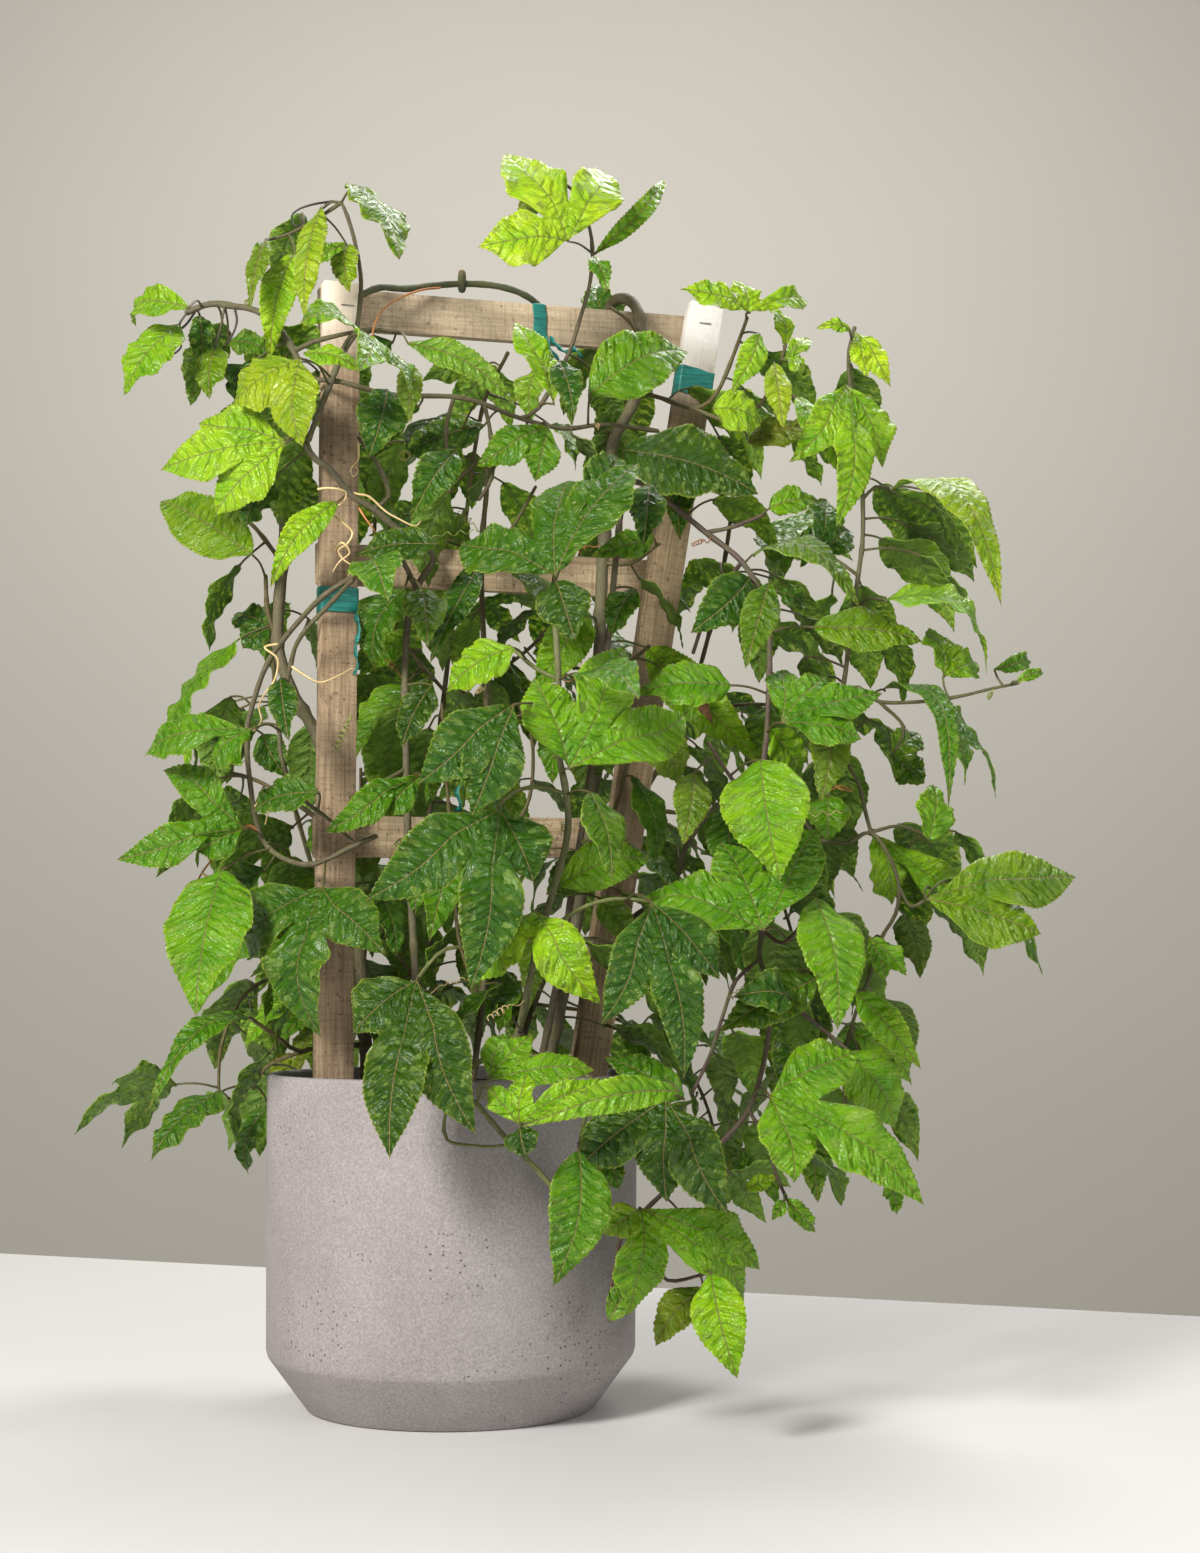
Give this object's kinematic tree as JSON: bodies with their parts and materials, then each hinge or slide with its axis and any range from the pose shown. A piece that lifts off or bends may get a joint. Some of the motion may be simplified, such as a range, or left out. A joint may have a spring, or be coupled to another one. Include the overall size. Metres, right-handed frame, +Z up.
{
  "type": "potted passion flower vine",
  "caption": "Passion flower vine trained on a wooden lath trellis, with arching and trailing stems, in a round planter with a chamfered foot.",
  "frame": {"origin": "centre of the planter's underside, on the surface it stands on", "axes": "+Z up along the planter's axis, +X to the right and -Y towards someone facing the trellis from the front"},
  "size_m": [0.772, 0.5139, 0.9699],
  "materials": {
    "planter": "matt speckled concrete-like glaze with small dark pits",
    "compost": "dark damp bark compost",
    "raw_wood": "rough-sawn unpainted lath, bleached at the top ends",
    "wire": "dull staple wire",
    "tape": "stretched green plastic garden tape",
    "foliage": "glossy veined leaves on brown and olive stems"
  },
  "bodies": {
    "root": {"pot": "planter", "compost": "compost", "lath_left": "raw_wood", "lath_right": "raw_wood", "bar_top": "raw_wood", "bar_middle": "raw_wood", "bar_low": "raw_wood", "staple_left": "wire", "staple_right": "wire", "tape_left": "tape", "tape_right": "tape", "tape_top": "tape", "tape_low": "tape", "vine_trunk": "foliage", "vine_left": "foliage", "vine_woody": "foliage", "vine_right": "foliage", "vine_right_high": "foliage", "vine_front": "foliage", "vine_inner": "foliage", "vine_back": "foliage", "vine_back_right": "foliage", "vine_back_left": "foliage"}
  },
  "joints": []
}
